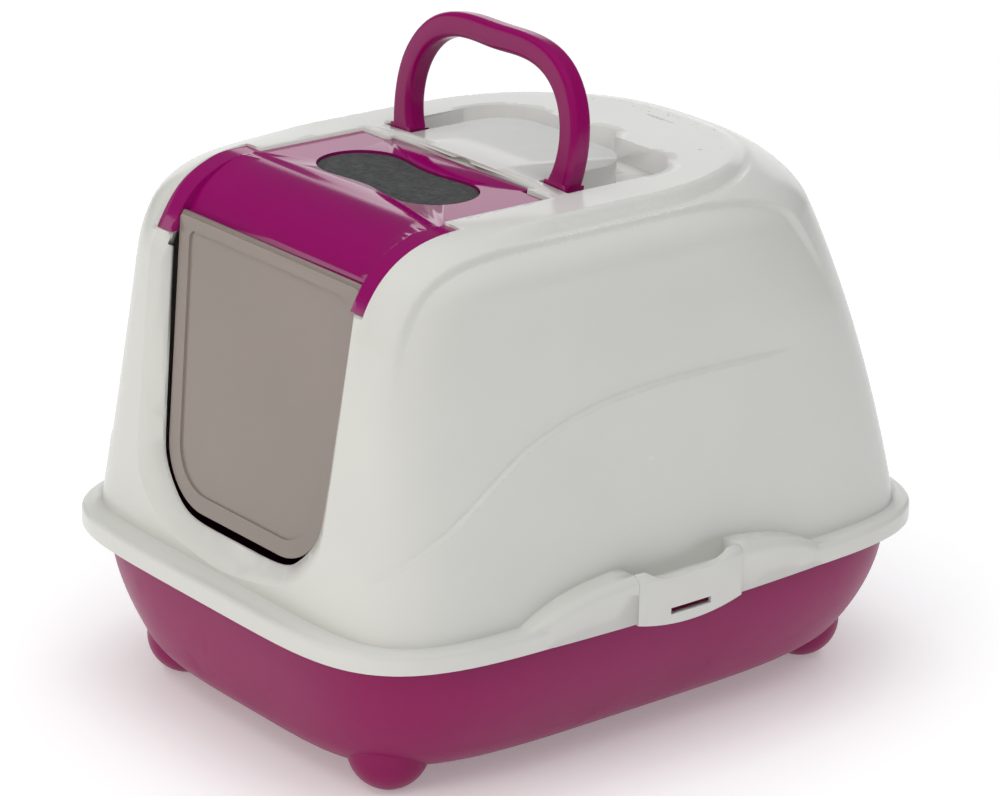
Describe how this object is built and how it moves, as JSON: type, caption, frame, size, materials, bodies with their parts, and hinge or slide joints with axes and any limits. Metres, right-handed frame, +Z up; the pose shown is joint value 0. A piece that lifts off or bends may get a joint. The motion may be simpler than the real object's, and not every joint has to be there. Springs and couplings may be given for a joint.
{
  "type": "cat litter box with hood",
  "caption": "Hooded cat litter box: a flared tray, a domed hood with a clear swing door, a flip-up visor with a filter, a folding handle and side clips.",
  "frame": {"origin": "on the floor under the middle of the box", "axes": "+Z up, the doorway faces -Y, +X is on the right seen from the doorway's side"},
  "size_m": [0.399, 0.5, 0.4518],
  "materials": {
    "tray_plastic": "satin magenta polypropylene",
    "hood_plastic": "glossy off-white moulded plastic",
    "accent_plastic": "glossy magenta moulded plastic",
    "door_clear": "translucent smoke-grey moulded plastic",
    "filter_felt": "dark grey carbon felt",
    "retainer_plastic": "satin magenta plastic"
  },
  "bodies": {
    "tray": {"tray": "tray_plastic"},
    "hood": {"hood": "hood_plastic"},
    "visor": {"visor": "accent_plastic", "filter_pad": "filter_felt", "filter_retainer": "retainer_plastic"},
    "door": {"door_flap": "door_clear"},
    "handle": {"handle": "accent_plastic"},
    "clip_right": {"clip_right": "hood_plastic"},
    "clip_left": {"clip_left": "hood_plastic"}
  },
  "joints": [
    {"name": "hood_lift", "type": "slide", "parent": "tray", "child": "hood", "axis": [0, 0, 1], "range_m": [0, 0.15]},
    {"name": "visor_flip", "type": "hinge", "parent": "hood", "child": "visor", "pos_m": [0, -0.0395, 0.3593], "axis": [-1, 0, 0], "range_deg": [0, 85]},
    {"name": "door_swing", "type": "hinge", "parent": "visor", "child": "door", "pos_m": [0, -0.1886, 0.3312], "axis": [-1, 0, 0], "range_deg": [-50, 55]},
    {"name": "handle_fold", "type": "hinge", "parent": "hood", "child": "handle", "pos_m": [0, -0.019, 0.357], "axis": [-1, 0, 0], "range_deg": [0, 82]},
    {"name": "clip_right_swing", "type": "hinge", "parent": "hood", "child": "clip_right", "pos_m": [0.1956, -0.002, 0.1296], "axis": [0, -1, 0], "range_deg": [0, 75]},
    {"name": "clip_left_swing", "type": "hinge", "parent": "hood", "child": "clip_left", "pos_m": [-0.1956, -0.002, 0.1296], "axis": [0, 1, 0], "range_deg": [0, 75]}
  ]
}
